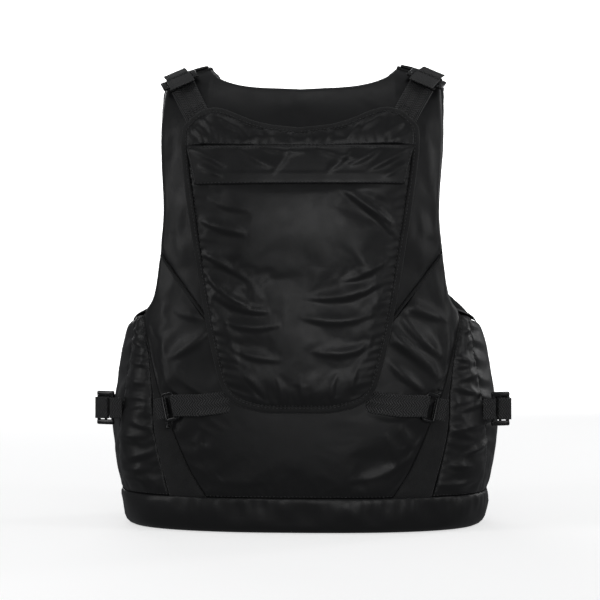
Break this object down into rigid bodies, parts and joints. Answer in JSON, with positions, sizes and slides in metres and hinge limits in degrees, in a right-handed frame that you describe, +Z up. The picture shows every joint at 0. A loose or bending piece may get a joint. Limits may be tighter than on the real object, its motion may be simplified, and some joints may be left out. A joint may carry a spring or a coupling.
{
  "type": "safety harness vest",
  "caption": "Padded buoyancy vest with a front zip, side and shoulder webbing adjusters, and a back stow pocket held in a webbing harness with hook buckles.",
  "frame": {"origin": "middle of the bounding box at the hem, where the vest stands", "axes": "+Z up from hem to shoulders, -Y out of the back with the pocket, +X to the right seen from behind"},
  "size_m": [0.4868, 0.2905, 0.5443],
  "materials": {
    "shell_nylon": "glossy coated nylon",
    "matte_fabric": "matte pebbled stretch fabric",
    "webbing": "woven herringbone webbing",
    "buckle_plastic": "satin black moulded plastic",
    "foam": "closed-cell buoyancy foam",
    "lining": "dull woven lining",
    "zip_tape": "woven zip tape with moulded teeth",
    "zip_metal": "black painted zinc"
  },
  "bodies": {
    "vest": {"armhole_binding_left": "shell_nylon", "armhole_binding_right": "shell_nylon", "back_foam": "foam", "back_lining": "lining", "back_piping_left": "matte_fabric", "back_piping_right": "matte_fabric", "back_side_panel_left": "shell_nylon", "back_side_panel_right": "shell_nylon", "front_foam_left": "foam", "front_foam_right": "foam", "front_lining_left": "lining", "front_lining_right": "lining", "front_shell_left": "shell_nylon", "front_shell_right": "shell_nylon", "hem_back": "shell_nylon", "hem_front_left": "shell_nylon", "hem_front_right": "shell_nylon", "lower_back_shell": "shell_nylon", "lower_strap_left": "webbing", "lower_strap_right": "webbing", "lower_tab_left": "webbing", "lower_tab_right": "webbing", "neck_binding": "shell_nylon", "pocket_back": "shell_nylon", "pocket_binding": "matte_fabric", "pocket_face": "shell_nylon", "pocket_top_band": "shell_nylon", "shoulder_cap_left": "shell_nylon", "shoulder_cap_right": "shell_nylon", "shoulder_strap_left": "webbing", "shoulder_strap_right": "webbing", "shoulder_tab_left": "webbing", "shoulder_tab_right": "webbing", "side_band_left": "matte_fabric", "side_band_right": "matte_fabric", "side_foam_left": "foam", "side_foam_right": "foam", "side_panel_left": "shell_nylon", "side_panel_right": "shell_nylon", "side_strap_left": "webbing", "side_strap_right": "webbing", "side_tab_left": "webbing", "side_tab_right": "webbing", "upper_back_shell": "shell_nylon", "zip_tape_left": "zip_tape", "zip_tape_right": "zip_tape"},
    "flap": {"pocket_flap": "shell_nylon"},
    "zip_slider": {"zip_slider": "zip_metal"},
    "zip_pull": {"zip_pull": "zip_metal"},
    "shoulder_adjuster_left": {"shoulder_lock_left": "buckle_plastic", "shoulder_strap_end_left": "webbing"},
    "side_adjuster_left": {"side_lock_left": "buckle_plastic", "side_strap_end_left": "webbing"},
    "hook_left": {"hook_buckle_left": "buckle_plastic"},
    "shoulder_adjuster_right": {"shoulder_lock_right": "buckle_plastic", "shoulder_strap_end_right": "webbing"},
    "side_adjuster_right": {"side_lock_right": "buckle_plastic", "side_strap_end_right": "webbing"},
    "hook_right": {"hook_buckle_right": "buckle_plastic"}
  },
  "joints": [
    {"name": "flap_hinge", "type": "hinge", "parent": "vest", "child": "flap", "pos_m": [0, -0.12325, 0.43862], "axis": [-1, 0, 0], "range_deg": [0, 90]},
    {"name": "zip_slide", "type": "slide", "parent": "vest", "child": "zip_slider", "axis": [0, 0, 1], "range_m": [-0.36, 0]},
    {"name": "zip_pull_hinge", "type": "hinge", "parent": "zip_slider", "child": "zip_pull", "pos_m": [0, 0.14255, 0.424], "axis": [1, 0, 0], "range_deg": [0, 150]},
    {"name": "shoulder_lock_tilt_left", "type": "hinge", "parent": "vest", "child": "shoulder_adjuster_left", "pos_m": [-0.1481, -0.03793, 0.52663], "axis": [-0.9077, -0.1149, -0.4036], "range_deg": [0, 35]},
    {"name": "side_lock_tilt_left", "type": "hinge", "parent": "vest", "child": "side_adjuster_left", "pos_m": [-0.2215, -0.06572, 0.138], "axis": [0, 0, 1], "range_deg": [0, 35]},
    {"name": "hook_swing_left", "type": "hinge", "parent": "vest", "child": "hook_left", "pos_m": [-0.14211, -0.12256, 0.144], "axis": [-0.2073, 0.0751, 0.9754], "range_deg": [0, 75]},
    {"name": "shoulder_lock_tilt_right", "type": "hinge", "parent": "vest", "child": "shoulder_adjuster_right", "pos_m": [0.1481, -0.03793, 0.52663], "axis": [-0.9077, 0.1149, 0.4036], "range_deg": [0, 35]},
    {"name": "side_lock_tilt_right", "type": "hinge", "parent": "vest", "child": "side_adjuster_right", "pos_m": [0.2215, -0.06572, 0.138], "axis": [0, 0, -1], "range_deg": [0, 35]},
    {"name": "hook_swing_right", "type": "hinge", "parent": "vest", "child": "hook_right", "pos_m": [0.14211, -0.12256, 0.144], "axis": [-0.2073, -0.0751, -0.9754], "range_deg": [0, 75]}
  ]
}
